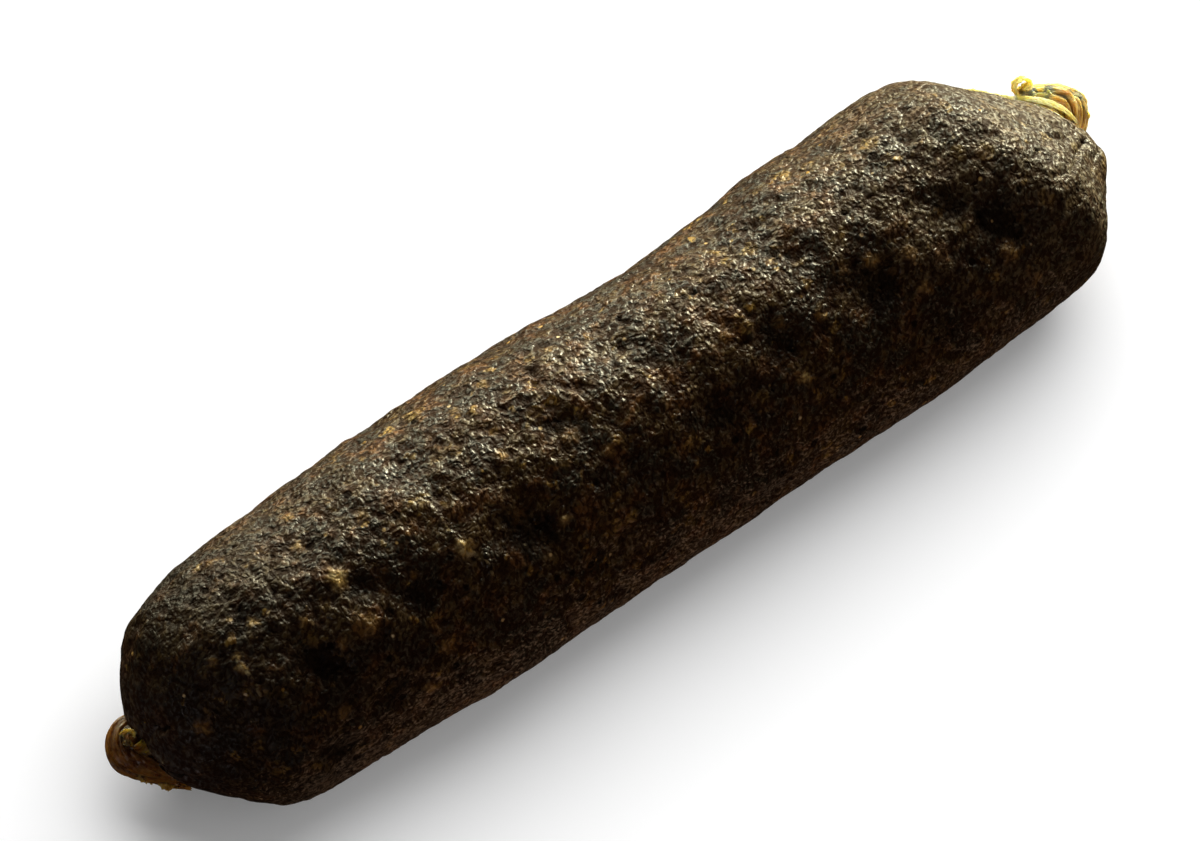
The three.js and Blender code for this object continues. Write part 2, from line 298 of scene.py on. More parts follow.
# Specks of fat that stand out, as seen: (right, up), radius, how pale, how strong.
SPECKS = [
    (-39.7, -18.9, 1.5, 0.55, 1.0), (-20.0, -15.3, 1.3, 0.8, 0.9), (-53.6, -31.9, 0.8, 0.7, 0.9), (28.9, 8.8, 0.85, 0.6, 1.0),
    (-5.5, -11.2, 0.8, 0.45, 0.9), (-54.5, -30.2, 0.8, 0.6, 0.8), (13.4, -3.4, 0.6, 0.8, 0.8), (-34.6, -26.3, 1.9, 0.2, 0.75),
    (38.3, 27.2, 1.2, 0.35, 0.7), (-59.1, -41.9, 1.3, 0.15, 0.7), (-4.9, 2.0, 1.3, 0.1, 0.7), (-45.3, -14.4, 1.0, 0.3, 0.7),
    (-52.4, -25.3, 0.9, 0.6, 0.8), (-12.1, -10.6, 1.2, 0.15, 0.7), (46.6, 22.3, 0.9, 0.4, 0.8), (-37.9, -39.6, 1.1, 0.2, 0.6),
    (-22.7, -30.3, 1.2, 0.2, 0.7), (-15.3, -1.2, 0.9, 0.2, 0.8), (-2.0, -17.9, 1.3, 0.1, 0.6), (17.4, 15.9, 1.0, 0.1, 0.6),
    (-37.9, -29.6, 0.8, 0.4, 0.7), (44.2, 27.8, 1.0, 0.2, 0.6), (31.5, 18.4, 0.8, 0.4, 0.7), (-36.3, -9.8, 0.9, 0.4, 0.6),
    (-23.9, -8.3, 0.6, 0.6, 0.7), (-25.3, -36.4, 1.0, 0.35, 0.8), (-57.9, -31.1, 0.8, 0.4, 0.7), (0.8, -1.5, 0.9, 0.2, 0.7),
    (24.7, 17.9, 0.9, 0.3, 0.6), (-44.0, -25.5, 0.8, 0.4, 0.7), (-27.4, -19.2, 0.6, 0.4, 0.7), (-17.2, 2.4, 0.7, 0.3, 0.7),
    (-18.4, 9.0, 0.9, 0.5, 0.55), (-23.1, 4.9, 0.9, 0.4, 0.5), (-46.9, -10.4, 1.0, 0.45, 0.55), (-57.8, -17.3, 0.8, 0.5, 0.5),
    (-9.0, 13.8, 1.0, 0.45, 0.5), (34.1, 25.6, 1.1, 0.3, 0.5), (58.6, 27.4, 1.6, 0.25, 0.6), (62.4, 23.2, 1.1, 0.25, 0.5),
]
# Pits, as seen: (right, up), radius, depth.
PITS = [
    (62.6, 42.7, 0.75, 1.0), (64.2, 40.2, 0.45, 0.5), (58.6, 41.2, 0.5, 0.5), (11.6, 22.3, 0.65, 0.9),
    (-18.9, 15.9, 0.6, 0.6), (37.8, 33.4, 0.6, 0.6), (-38.5, -3.9, 0.6, 0.6), (-12.6, 12.4, 0.5, 0.5),
    (24.2, 29.6, 0.5, 0.5), (4.1, 8.8, 0.55, 0.55), (49.6, 39.0, 0.5, 0.55), (30.3, 20.7, 0.55, 0.6),
]


def segment_distance(p, a, b):
    d = b - a
    t = np.clip(((p - a) @ d) / (d @ d), 0, 1)
    return np.linalg.norm(p - (a + t[:, None] * d), axis=1), t


def skin_relief(p, nrm, pole_left, pole_right):
    """Height of the skin over the base form, in mm, and the masks that colour it (among them painted shade in dents,
    grooves and pits, and painted highlights on creases), at points p (n, 3) with normals nrm.
    """
    rng = np.random.default_rng(20)
    s = p @ UP
    q = np.stack([p[:, 0] + SLANT * s, p[:, 1], p[:, 2]], 1)
    away = np.minimum(np.linalg.norm(p - pole_left, axis=1), np.linalg.norm(p - pole_right, axis=1))
    calm = smooth((away - 5) / 14)      # the casing is pulled smooth near the ties
    h, line = np.zeros(len(p)), np.zeros(len(p))
    # broad unevenness, lumps of filling, and the grain of the mince under the skin
    face = 0.45 + 0.55 * smooth(np.abs(nrm @ BACK) / 0.55)      # the sausage's outline is smoother than its face
    h += 0.12 * noise(p / 14, 1) + face * (0.27 * noise(p / 7.0, 2) + calm * 0.30 * noise(p / 3.9, 8))
    grain = noise(p / 2.4, 3)
    h += calm * face * 0.20 * grain
    fine = noise(p / 1.4 + 0.5 * noise(p / 5, 9)[:, None], 4)
    h += (0.3 + 0.7 * calm) * 0.10 * fine
    # drying wrinkles: narrow grooves between low swellings, slanted across the sausage
    warp = 0.5 * np.stack([noise(p / 3.4, 11 + k) for k in range(3)], 1)
    w1 = 1 - np.abs(noise(q / np.array([1.7, 2.6, 2.6]) + warp, 5)) * 2.0
    strength = 0.55 + 0.45 * noise(p / 9, 7)
    h -= (0.25 + 0.75 * calm) * strength * 0.07 * np.clip(w1, 0, 1) ** 2
    # hollows between the pieces of meat and fat
    hollow = calm * smooth((noise(p / 2.0 + 0.4 * noise(p / 1.1, 22)[:, None], 21) - 0.26) / 0.30)
    h -= 0.36 * face * hollow
    # dents, whose colour is also darkened as painted shade
    painted_recess_shade = np.zeros(len(p))
    dents = list(DENTS)
    ragged = noise(p / 3.0, 23) + 0.6 * noise(p / 1.4, 24)
    for _ in range(30):                  # the sides that the dents above don't cover
        dents.append((rng.uniform(-72, 74), rng.uniform(140, 385), rng.uniform(2.6, 5.0), rng.uniform(2.4, 4.5), rng.uniform(0.3, 0.75)))
    for x, deg, lx, lc, depth in dents:
        c = on_skin(x, deg)
        d = p - c
        a = d[:, 0] + 0.3 * (d @ UP)
        b2 = d[:, 1] ** 2 + d[:, 2] ** 2
        m = np.exp(-((a / lx) ** 2 + b2 / lc**2) * (1 + 0.45 * ragged))
        h -= 1.5 * depth * m
        # painted shade: each dent's colour is darkened, more for the deeper ones
        painted_recess_shade = np.maximum(painted_recess_shade, m * min(1, depth / 0.8))
    # raised creases, grooves and pits; creases carry a painted highlight, grooves and pits painted shade
    painted_crease_highlight = np.zeros(len(p))
    for points, wide, high, tone in LINES:
        track = [skin_under(p, nrm, u, v)[0] for u, v in points]
        for a, b in zip(track[:-1], track[1:]):
            near = np.linalg.norm(p - (a + b) / 2, axis=1) < 4 + np.linalg.norm(b - a)
            pn = p[near] + 0.28 * np.stack([noise(p[near] / 1.3, 31 + k) for k in range(3)], 1)
            d, t = segment_distance(pn, a, b)
            m = np.exp(-((d / wide) ** 2)) * (0.8 + 0.35 * noise(p[near] / 1.1, 35))
            line[near] = np.where(np.abs(m * high) > np.abs(line[near]), m * high, line[near])
            # painted highlight along a crease (tone above 0), painted shade along a groove (tone below 0)
            if tone > 0:
                painted_crease_highlight[near] = np.maximum(painted_crease_highlight[near], m * tone)
            else:
                painted_recess_shade[near] = np.maximum(painted_recess_shade[near], -m * tone)
    h += line
    for u, v, wide, depth in PITS:
        c = skin_under(p, nrm, u, v)[0]
        near = np.linalg.norm(p - c, axis=1) < 4 * wide
        pn = p[near] + 0.5 * np.stack([noise(p[near] / 0.9, 37 + k) for k in range(3)], 1)
        d = np.linalg.norm((pn - c) * np.array([1.0, 1.3, 1.3]), axis=1) / (0.85 * wide)
        m = np.exp(-(d**3))
        h[near] -= 0.65 * depth * m - 0.15 * depth * np.exp(-(((d - 1.6) / 0.6) ** 2))
        # painted shade in the pit
        painted_recess_shade[near] = np.maximum(painted_recess_shade[near], m)
    # specks of fat: low mounds with an uneven edge
    fat, pale = np.zeros(len(p)), np.zeros(len(p))
    for u, v, wide, light, strong in SPECKS:
        c = skin_under(p, nrm, u, v)[0]
        near = np.linalg.norm(p - c, axis=1) < 4 * wide
        pn = p[near] + 0.45 * np.stack([noise(p[near] / 1.3, 61 + k) + 0.9 * noise(p[near] / 0.6, 71 + k) for k in range(3)], 1)
        m = smooth(1.5 - np.linalg.norm(pn - c, axis=1) / wide) * strong
        h[near] += 0.16 * wide * m
        fat[near] = np.maximum(fat[near], m)
        pale[near] = np.maximum(pale[near], light * m)
    # folds that run to each tie
    fold = np.zeros(len(p))
    for pole, sgn, n, ph in ((pole_left, -1, 13, 0.7), (pole_right, 1, 15, 2.0)):
        d = p - pole
        rho = np.hypot(d[:, 1], d[:, 2])
        ang = np.arctan2(d[:, 2], d[:, 1])
        side = smooth((sgn * p[:, 0] - 60) / 12)
        reach = smooth((19 - rho) / 13) * smooth((rho - 0.5) / 3) * side
        wob = 0.55 * noise(np.stack([rho / 6, np.cos(ang) * 2, np.sin(ang) * 2], 1), 41 + n)
        k = n * ang + ph + 2.2 * wob + 0.05 * rho * sgn
        groove = np.abs(np.sin(k / 2)) ** 0.7
        part = 0.6 + 0.4 * noise(np.stack([np.cos(ang) * 1.7, np.sin(ang) * 1.7, rho * 0 + sgn], 1), 55)
        f = reach * part * (0.62 - groove)
        h -= 0.62 * f * np.clip(0.3 + rho / 10, 0, 1)
        fold = np.maximum(fold, reach)
    return h, {"painted_recess_shade": painted_recess_shade, "painted_crease_highlight": painted_crease_highlight, "fold": fold, "fat": fat, "pale": pale, "hollow": hollow, "grain": grain, "fine": fine, "groove": np.clip(w1, 0, 1)}


def grid(P, first=None, last=None, closed=True):
    """Rings of points (rings, around, 3), closed at both ends by the points first and last: points, quads and triangles."""
    n, m = P.shape[:2]
    verts = P.reshape(-1, 3)
    i, j = np.meshgrid(np.arange(n - 1), np.arange(m if closed else m - 1), indexing="ij")
    k = (j + 1) % m
    quads = np.stack([i * m + j, i * m + k, (i + 1) * m + k, (i + 1) * m + j], -1).reshape(-1, 4)
    tris, extra = [], []
    around = np.arange(m)
    if first is not None:
        tris.append(np.stack([np.full(m, n * m), (around + 1) % m, around], 1))
        extra.append(first)
    if last is not None:
        at = (n - 1) * m
        tris.append(np.stack([np.full(m, n * m + len(extra)), around + at, (around + 1) % m + at], 1))
        extra.append(last)
    if extra:
        verts = np.concatenate([verts, np.array(extra)])
    tris = np.concatenate(tris) if tris else np.zeros((0, 3), int)
    # faces look out
    faces = np.concatenate([quads[:, [0, 1, 2]], quads[:, [0, 2, 3]], tris])
    c = verts - verts.mean(0)
    if (c[faces[:, 0]] * np.cross(c[faces[:, 1]], c[faces[:, 2]])).sum() < 0:
        quads, tris = quads[:, ::-1], tris[:, ::-1]
    return verts, quads, tris


def make_mesh(name, parts):
    """One mesh, in metres, from pieces (points in mm, quads, triangles)."""
    verts = np.concatenate([v for v, _, _ in parts])
    base = np.cumsum([0] + [len(v) for v, _, _ in parts])
    quads = np.concatenate([q + o for (_, q, _), o in zip(parts, base)])
    tris = np.concatenate([t + o for (_, _, t), o in zip(parts, base)])
    me = bpy.data.meshes.new(name)
    me.vertices.add(len(verts))
    me.vertices.foreach_set("co", (verts * MM).astype(np.float32).ravel())
    loops = np.concatenate([quads.ravel(), tris.ravel()])
    me.loops.add(len(loops))
    me.loops.foreach_set("vertex_index", loops.astype(np.int32))
    sizes = np.concatenate([np.full(len(quads), 4), np.full(len(tris), 3)])
    me.polygons.add(len(sizes))
    me.polygons.foreach_set("loop_start", np.concatenate([[0], np.cumsum(sizes)[:-1]]).astype(np.int32))
    me.polygons.foreach_set("use_smooth", np.ones(len(sizes), bool))
    me.update(calc_edges=True)
    me.validate()
    return me


def add_object(name, me, mat):
    ob = bpy.data.objects.new(name, me)
    bpy.context.scene.collection.objects.link(ob)
    me.materials.clear()
    me.materials.append(mat)
    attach(ob, "root")
    return ob


def lies(me, name, values):
    a = me.attributes.new(name, "FLOAT_VECTOR", "POINT")
    a.data.foreach_set("vector", np.asarray(values, np.float32).ravel())


def mask(me, name, values):
    a = me.attributes.new(name, "FLOAT", "POINT")
    a.data.foreach_set("value", np.asarray(values, np.float32))


# ------------------------------------------------------------------ node helpers
class Nodes:
    def __init__(self, name):
        self.mat = bpy.data.materials.new(name)
        self.mat.use_nodes = True
        self.t = self.mat.node_tree
        self.t.nodes.clear()
        self.out = self.t.nodes.new("ShaderNodeOutputMaterial")

    def node(self, kind, **props):
        n = self.t.nodes.new(kind)
        for k, v in props.items():
            setattr(n, k, v)
        return n

    def set(self, socket, value):
        if isinstance(value, bpy.types.NodeSocket):
            self.t.links.new(value, socket)
        else:
            socket.default_value = value

    def math(self, op, a, b=0.0, c=None, clamp=False):
        n = self.node("ShaderNodeMath", operation=op, use_clamp=clamp)
        self.set(n.inputs[0], a)
        self.set(n.inputs[1], b)
        if c is not None:
            self.set(n.inputs[2], c)
        return n.outputs[0]

    def vmath(self, op, a, b=None, scale=None):
        n = self.node("ShaderNodeVectorMath", operation=op)
        self.set(n.inputs[0], a)
        if b is not None:
            self.set(n.inputs[1], b)
        if scale is not None:
            self.set(n.inputs["Scale"], scale)
        return n.outputs["Value"] if op == "DOT_PRODUCT" else n.outputs["Vector"]

    def noise(self, vec, scale, detail=2.0, rough=0.5, kind="FBM", distortion=0.0, lac=2.0):
        n = self.node("ShaderNodeTexNoise", noise_dimensions="3D")
        n.noise_type = kind
        if hasattr(n, "normalize"):
            n.normalize = True
        self.set(n.inputs["Vector"], vec)
        self.set(n.inputs["Scale"], scale)
        self.set(n.inputs["Detail"], detail)
        self.set(n.inputs["Roughness"], rough)
        self.set(n.inputs["Lacunarity"], lac)
        self.set(n.inputs["Distortion"], distortion)
        return n.outputs["Fac"]

    def ramp(self, x, lo, hi, out_lo=0.0, out_hi=1.0, smoothstep=False):
        n = self.node("ShaderNodeMapRange", interpolation_type="SMOOTHSTEP" if smoothstep else "LINEAR")
        n.clamp = True
        self.set(n.inputs["Value"], x)
        self.set(n.inputs["From Min"], lo)
        self.set(n.inputs["From Max"], hi)
        self.set(n.inputs["To Min"], out_lo)
        self.set(n.inputs["To Max"], out_hi)
        return n.outputs["Result"]

    def mix(self, f, a, b, kind="RGBA", blend="MIX"):
        n = self.node("ShaderNodeMix", data_type=kind)
        if kind == "RGBA":
            n.blend_type = blend
            self.set(n.inputs["Factor"], f)
            self.set(n.inputs[6], a)
            self.set(n.inputs[7], b)
            return n.outputs[2]
        self.set(n.inputs["Factor"], f)
        self.set(n.inputs[2], a)
        self.set(n.inputs[3], b)
        return n.outputs[0]

    def attr(self, name):
        n = self.node("ShaderNodeAttribute", attribute_name=name, attribute_type="GEOMETRY")
        return n.outputs["Fac"]

    def voronoi(self, vec, scale, feature="F1", rand=1.0):
        n = self.node("ShaderNodeTexVoronoi", feature=feature)
        self.set(n.inputs["Vector"], vec)
        self.set(n.inputs["Scale"], scale)
        self.set(n.inputs["Randomness"], rand)
        return n


def rgb(r, g, b):
    return (r, g, b, 1.0)


# ------------------------------------------------------------------ the casing's material
def casing_material():
    N = Nodes("sausage_skin")
    tc = N.node("ShaderNodeTexCoord").outputs["Object"]
    sep = N.node("ShaderNodeSeparateXYZ")
    N.set(sep.inputs[0], tc)
    comb = N.node("ShaderNodeCombineXYZ")
    N.set(comb.inputs[0], N.vmath("DOT_PRODUCT", tc, (1.0, -0.22 * UP[1], -0.22 * UP[2])))
    N.set(comb.inputs[1], N.math("MULTIPLY", sep.outputs[1], 0.90))
    N.set(comb.inputs[2], N.math("MULTIPLY", sep.outputs[2], 0.90))
    # wrinkle coordinates: a little faster along the slanted axis than round the sausage, and bent
    warp = N.node("ShaderNodeTexNoise")
    N.set(warp.inputs["Vector"], tc)
    N.set(warp.inputs["Scale"], 480)
    N.set(warp.inputs["Detail"], 1.0)
    bent = N.vmath("SCALE", N.vmath("SUBTRACT", warp.outputs["Color"], (0.5, 0.5, 0.5)), scale=0.0010)
    q = N.vmath("ADD", comb.outputs[0], bent)
    smoothed = N.attr("fold")                                  # 1 where the casing is pulled smooth to a tie

    # ---- heights, in units of the bump's distance
    cell = N.voronoi(q, 1120, "F1")
    dome = N.ramp(cell.outputs["Distance"], 0.12, 0.62, 1.0, 0.0, True)
    worm = N.ramp(N.noise(q, 1580, 1.0, 0.5), 0.28, 0.72)
    mid = N.noise(tc, 640, 2.0, 0.55)
    sink = N.ramp(N.noise(tc, 430, 1.5, 0.55), 0.56, 0.67, 0.0, 1.0, True)
    pit = N.voronoi(tc, 330, "F1")
    pits = N.node("ShaderNodeSeparateColor")
    N.set(pits.inputs[0], pit.outputs["Color"])
    pitr = N.ramp(pits.outputs[0], 0.55, 1.0, 0.02, 0.28)
    hole = N.ramp(N.math("SUBTRACT", pitr, pit.outputs["Distance"]), -0.05, 0.08, 0.0, 1.0, True)
    grain = N.math("ADD", N.math("MULTIPLY", dome, 0.46), N.math("MULTIPLY", worm, 0.54))
    h = N.math("ADD", grain, N.math("MULTIPLY", mid, 1.5))
    h = N.math("SUBTRACT", h, N.math("MULTIPLY", sink, 0.6))
    h = N.math("SUBTRACT", h, N.math("MULTIPLY", hole, 0.7))
    plus_side = N.ramp(sep.outputs[0], 0.0, 0.01)
    h = N.math("MULTIPLY", h, N.ramp(smoothed, 0.0, 1.0, 1.0, N.ramp(plus_side, 0.0, 1.0, 0.22, 0.85)))
    bump = N.node("ShaderNodeBump")
    bump.inputs["Strength"].default_value = 1.0
    bump.inputs["Distance"].default_value = 0.00025
    N.set(bump.inputs["Height"], h)

    # ---- colour: a dark skin whose meat shows reddish brown, with nearly black and grey-green areas
    low = N.ramp(grain, 0.22, 0.49, 1.0, 0.0, True)            # the gaps between grains
    n1 = N.noise(tc, 250, 3.0, 0.6)
    n2 = N.noise(tc, 900, 2.0, 0.6)
    n3 = N.noise(tc, 165, 3.0, 0.6)
    brown = N.mix(N.ramp(n2, 0.34, 0.66), rgb(0.036, 0.0182, 0.0036), rgb(0.098, 0.057, 0.0110))
    red = N.mix(N.ramp(n2, 0.35, 0.65), rgb(0.056, 0.0150, 0.0016), rgb(0.165, 0.066, 0.0085))
    black = N.mix(N.ramp(n2, 0.35, 0.65), rgb(0.005, 0.0032, 0.0010), rgb(0.018, 0.015, 0.0075))
    col = N.mix(N.ramp(n1, 0.50, 0.58, 0.0, 0.9), brown, red)
    col = N.mix(N.ramp(n3, 0.44, 0.53, 0.92, 0.0), col, black)
    # fat that shows through the skin
    gold = N.mix(N.ramp(n2, 0.35, 0.65), rgb(0.21, 0.092, 0.010), rgb(0.52, 0.34, 0.070))
    wob = N.node("ShaderNodeTexNoise")
    N.set(wob.inputs["Vector"], tc)
    N.set(wob.inputs["Scale"], 640)
    N.set(wob.inputs["Detail"], 2.0)
    shaken = N.vmath("ADD", tc, N.vmath("SCALE", N.vmath("SUBTRACT", wob.outputs["Color"], (0.5, 0.5, 0.5)), scale=0.0026))
    fatm = None
    for scale, least, size, most in ((240, 0.52, 0.46, 0.66), (430, 0.58, 0.46, 1.0)):
        fat = N.voronoi(shaken, scale, "F1")
        fats = N.node("ShaderNodeSeparateColor")
        N.set(fats.inputs[0], fat.outputs["Color"])
        reach = N.ramp(fats.outputs[0], least, 1.0, 0.0, size)
        one = N.ramp(N.math("SUBTRACT", reach, fat.outputs["Distance"]), -0.03, 0.16, 0.0, 1.0, True)
        one = N.math("MULTIPLY", one, N.ramp(fats.outputs[1], 0.0, 1.0, 0.12, most))
        fatm = one if fatm is None else N.math("MAXIMUM", fatm, one)
    col = N.mix(fatm, col, gold)
    # painted shade: hollows and sinks are darkened here; the mask for dents, grooves and pits darkens them further down
    hollow = N.math("MAXIMUM", N.attr("hollow"), sink)
    uneven = N.math("ADD", N.math("MULTIPLY", N.math("SUBTRACT", n2, 0.5), 1.5), N.math("MULTIPLY", N.math("SUBTRACT", n1, 0.5), 1.8))
    painted_recess_shade = N.ramp(N.math("ADD", N.attr("painted_recess_shade"), uneven), 0.32, 0.78, 0.0, 1.0, True)
    painted_recess_shade = N.math("MULTIPLY", painted_recess_shade, N.ramp(N.attr("painted_recess_shade"), 0.0, 0.3))
    col = N.mix(N.math("MULTIPLY", hollow, 0.75), col, rgb(0.028, 0.0085, 0.0014))
    # the tight skin by the ties is smoother and thinner; its greyer colour is partly a painted sheen, the reflection of
    # the pale surroundings
    tied = N.mix(plus_side, N.mix(N.ramp(n2, 0.35, 0.65), rgb(0.034, 0.026, 0.026), rgb(0.075, 0.062, 0.062)), N.mix(N.ramp(n2, 0.35, 0.65), rgb(0.075, 0.056, 0.034), rgb(0.21, 0.165, 0.105)))
    col = N.mix(N.math("MULTIPLY", smoothed, 0.8), col, tied)
    # painted sheen: the right end's colour is paler than the rest, standing in for the light that falls on it; it is
    # also duller
    right_end_painted_sheen = N.math("MULTIPLY", N.ramp(N.math("ADD", sep.outputs[0], N.math("MULTIPLY", N.math("SUBTRACT", n3, 0.5), 0.09)), 0.038, 0.084), N.math("SUBTRACT", 1.0, N.math("MULTIPLY", smoothed, plus_side)))
    col = N.mix(N.math("MULTIPLY", right_end_painted_sheen, 0.72), col, N.mix(N.ramp(n2, 0.35, 0.65), rgb(0.040, 0.032, 0.020), rgb(0.155, 0.130, 0.085)))
    fat = N.attr("fat")
    col = N.mix(fat, col, N.mix(N.math("MULTIPLY", N.attr("pale"), 1.2, clamp=True), N.mix(N.ramp(n2, 0.35, 0.65), rgb(0.15, 0.055, 0.008), rgb(0.34, 0.17, 0.03)), N.mix(N.ramp(n2, 0.35, 0.65), rgb(0.50, 0.30, 0.06), rgb(0.85, 0.70, 0.34))))
    low = N.math("MULTIPLY", low, N.math("SUBTRACT", 1.0, N.math("MULTIPLY", fat, 0.5)))
    # painted shade: gaps, pits and dents are darker
    col = N.mix(N.math("MULTIPLY", low, 0.80), col, rgb(0.022, 0.0068, 0.0011))
    col = N.mix(N.math("MULTIPLY", hole, 0.9), col, rgb(0.006, 0.002, 0.0006))
    col = N.mix(N.math("MULTIPLY", painted_recess_shade, 0.80), col, rgb(0.0045, 0.0017, 0.0005))
    # painted highlight: a pale golden colour along the raised creases
    col = N.mix(N.ramp(N.math("ADD", N.attr("painted_crease_highlight"), N.math("MULTIPLY", N.math("SUBTRACT", n2, 0.5), 1.6)), 0.40, 0.90), col, rgb(0.56, 0.46, 0.27))
    # painted shade: the left end is darker
    shade = N.ramp(N.math("ADD", sep.outputs[0], N.math("MULTIPLY", N.math("SUBTRACT", n1, 0.5), 0.03)), -0.072, -0.042, 0.55, 0.0)
    shade = N.math("MULTIPLY", shade, N.math("SUBTRACT", 1.0, smoothed))
    col = N.mix(N.math("MULTIPLY", shade, N.math("SUBTRACT", 1.0, fat)), col, rgb(0.0065, 0.0028, 0.0010))
    # pale specks
    sp = N.voronoi(tc, 430, "F1")
    sps = N.node("ShaderNodeSeparateColor")
    N.set(sps.inputs[0], sp.outputs["Color"])
    spk = N.math("MULTIPLY", N.ramp(sp.outputs["Distance"], 0.08, 0.16, 1.0, 0.0), N.ramp(sps.outputs[1], 0.80, 0.84))
    col = N.mix(spk, col, N.mix(sps.outputs[2], rgb(0.45, 0.27, 0.07), rgb(0.72, 0.60, 0.42)))

    p = N.node("ShaderNodeBsdfPrincipled")
    N.set(p.inputs["Base Color"], col)
    rough = N.ramp(N.noise(tc, 900, 2.0, 0.6), 0.3, 0.7, 0.29, 0.52)
    gap = N.math("MAXIMUM", N.math("MAXIMUM", N.math("MULTIPLY", low, 0.88), hole), N.math("MAXIMUM", N.math("MULTIPLY", N.math("MAXIMUM", painted_recess_shade, shade), 0.80), N.math("MULTIPLY", hollow, 0.7)))
    rough = N.math("ADD", rough, N.math("MULTIPLY", right_end_painted_sheen, 0.10))
    N.set(p.inputs["Roughness"], N.mix(gap, rough, 0.62, "FLOAT"))
    # only the tops shine: the gaps between the grains are dull and show the meat's red
    N.set(p.inputs["Specular IOR Level"], N.ramp(gap, 0.0, 1.0, 0.50, 0.04))
    N.set(p.inputs["Normal"], bump.outputs[0])
    N.set(N.out.inputs["Surface"], p.outputs[0])
    return N.mat


def end_material():
    N = Nodes("casing_end")
    tc = N.node("ShaderNodeTexCoord").outputs["Object"]
    n1 = N.noise(tc, 330, 3.0, 0.6)
    n2 = N.noise(tc, 1300, 3.0, 0.6)
    n3 = N.noise(tc, 620, 2.0, 0.6)
    # fine pleats that run along the gathered casing
    lie = N.node("ShaderNodeAttribute", attribute_name="lie", attribute_type="GEOMETRY").outputs["Vector"]
    pleat = N.noise(lie, 1.0, 2.0, 0.6)
    crease = N.ramp(pleat, 0.30, 0.46, 1.0, 0.0, True)
    sep = N.node("ShaderNodeSeparateXYZ")
    N.set(sep.inputs[0], tc)
    thin, painted_fold_shade = N.attr("thin"), N.attr("painted_fold_shade")
    # the right end: pale yellow and golden; its thin sheets are lighter still, partly their own colour and partly a
    # painted glow of light through them; amber in its folds and browner at the far side, both painted shade
    right = N.mix(N.ramp(n1, 0.33, 0.55), rgb(0.72, 0.38, 0.050), rgb(0.92, 0.68, 0.20))
    right = N.mix(N.math("MULTIPLY", thin, 0.7), right, N.mix(N.ramp(n3, 0.35, 0.65), rgb(0.88, 0.56, 0.075), rgb(0.98, 0.80, 0.32)))
    right = N.mix(N.ramp(sep.outputs[0], 0.0838, 0.0870, 0.0, 0.72), right, N.mix(N.ramp(n1, 0.4, 0.6), rgb(0.22, 0.12, 0.045), rgb(0.52, 0.36, 0.16)))
    right = N.mix(N.math("MULTIPLY", crease, 0.75), right, rgb(0.36, 0.17, 0.028))
    right = N.mix(N.math("MULTIPLY", painted_fold_shade, 0.85), right, rgb(0.18, 0.070, 0.010))
    # the left end: the same casing in painted shade, a darker amber, with golden edges that are partly a painted glow;
    # its folds are darker still, painted shade
    left = N.mix(N.ramp(n3, 0.35, 0.65), rgb(0.100, 0.030, 0.0025), rgb(0.30, 0.145, 0.019))
    left = N.mix(N.math("MULTIPLY", thin, 0.85), left, N.mix(N.ramp(n3, 0.35, 0.65), rgb(0.46, 0.16, 0.011), rgb(0.82, 0.46, 0.085)))
    left = N.mix(N.math("MULTIPLY", crease, 0.35), left, rgb(0.050, 0.014, 0.002))
    left = N.mix(N.math("MULTIPLY", painted_fold_shade, 0.85), left, rgb(0.030, 0.007, 0.001))
    col = N.mix(N.ramp(sep.outputs[0], -0.05, 0.05), left, right)
    p = N.node("ShaderNodeBsdfPrincipled")
    N.set(p.inputs["Base Color"], col)
    N.set(p.inputs["Roughness"], N.ramp(N.math("ADD", n3, N.ramp(sep.outputs[0], -0.05, 0.05, 0.0, 0.35)), 0.3, 1.0, 0.24, 0.62))
    p.inputs["Subsurface Weight"].default_value = 1.0
    p.inputs["Subsurface Radius"].default_value = (1.0, 0.72, 0.28)
    p.inputs["Subsurface Scale"].default_value = 0.0026
    bump = N.node("ShaderNodeBump")
    bump.inputs["Strength"].default_value = 1.0
    bump.inputs["Distance"].default_value = 0.00028
    pleats = N.math("MULTIPLY", N.math("ADD", pleat, N.math("MULTIPLY", crease, -0.4)), N.ramp(sep.outputs[0], -0.05, 0.05, 0.4, 1.0))
    N.set(bump.inputs["Height"], N.math("ADD", N.math("ADD", N.math("MULTIPLY", n2, 0.5), N.math("MULTIPLY", n3, 0.8)), pleats))
    N.set(p.inputs["Normal"], bump.outputs[0])
    N.set(N.out.inputs["Surface"], p.outputs[0])
    return N.mat


